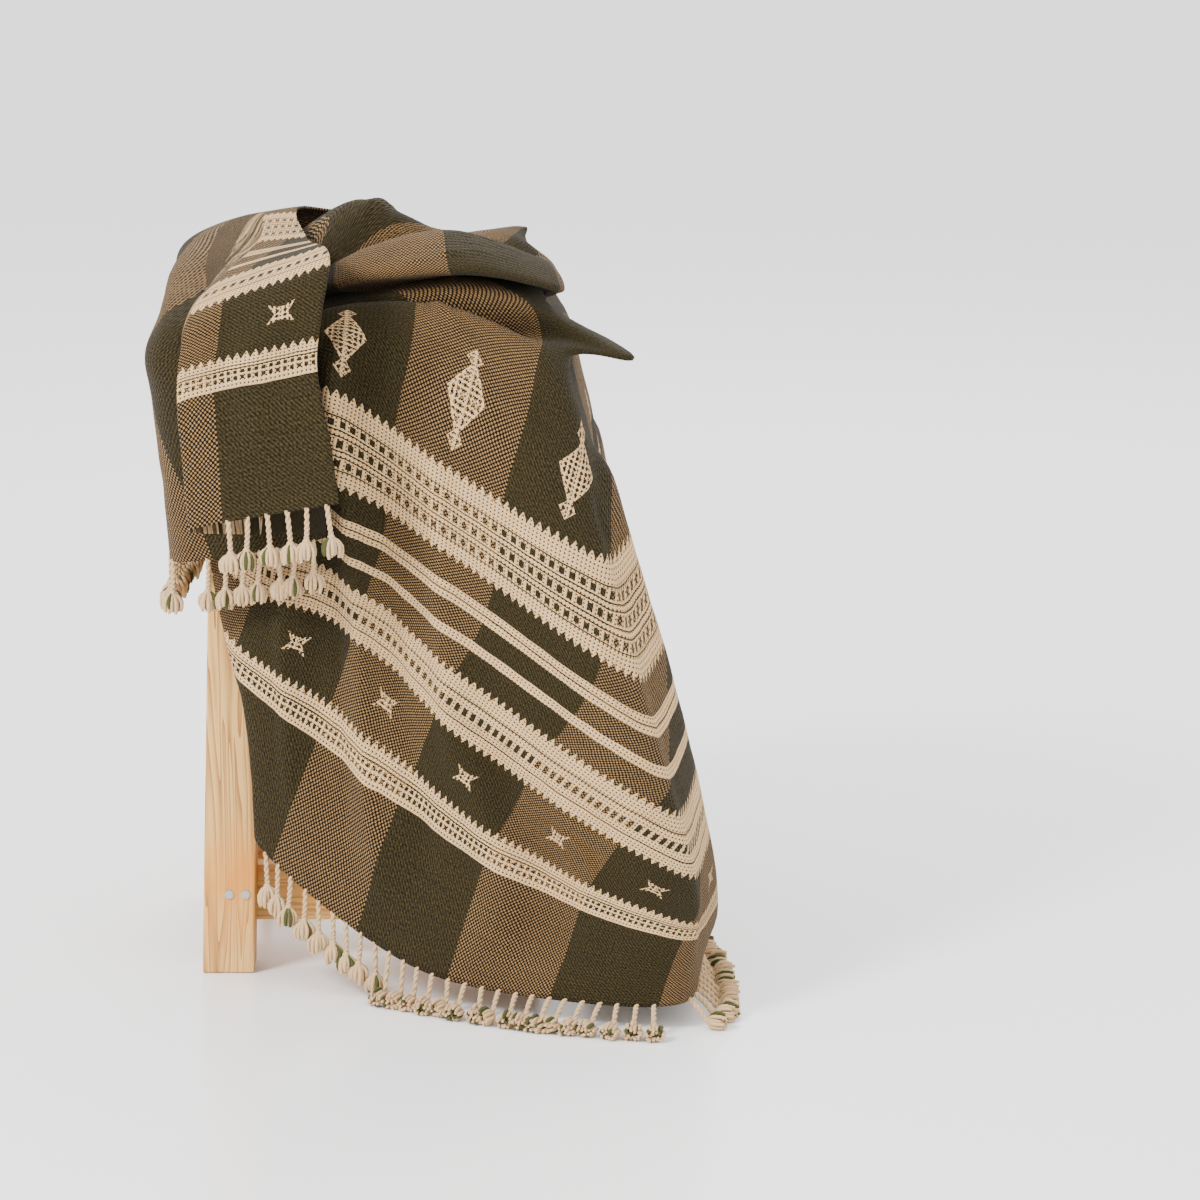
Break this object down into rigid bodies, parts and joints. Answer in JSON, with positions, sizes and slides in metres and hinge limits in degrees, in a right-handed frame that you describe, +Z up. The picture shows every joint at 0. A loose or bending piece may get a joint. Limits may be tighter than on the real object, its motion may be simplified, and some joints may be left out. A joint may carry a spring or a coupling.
{
  "type": "wool throw blanket over a wooden stool",
  "caption": "Woven wool throw with striped ground, patterned borders and tasselled hems, draped loosely over a small pine stool.",
  "frame": {"origin": "centre of the whole object's box, on the floor under the stool", "axes": "+Z up, the side that faces the viewer towards -Y, +X to the viewer's right"},
  "size_m": [0.5318, 0.623, 0.6904],
  "materials": {
    "wool_cloth": "matt twill and plain weave in olive and tan",
    "yarn": "matt beige twisted yarn",
    "pine": "bare planed",
    "screw": "zinc plated"
  },
  "bodies": {
    "root": {"blanket_cloth": "wool_cloth", "fringe_front": "yarn", "fringe_right": "yarn", "fringe_right_back": "yarn", "fringe_flap": "yarn", "fringe_under_flap": "yarn", "fringe_left": "yarn", "stool_seat": "pine", "stool_leg_front_left": "pine", "stool_leg_front_right": "pine", "stool_leg_back_left": "pine", "stool_leg_back_right": "pine", "stool_rail_front": "pine", "stool_rail_back": "pine", "stool_rail_left": "pine", "stool_rail_right": "pine", "stool_screw_1": "screw", "stool_screw_2": "screw"}
  },
  "joints": []
}
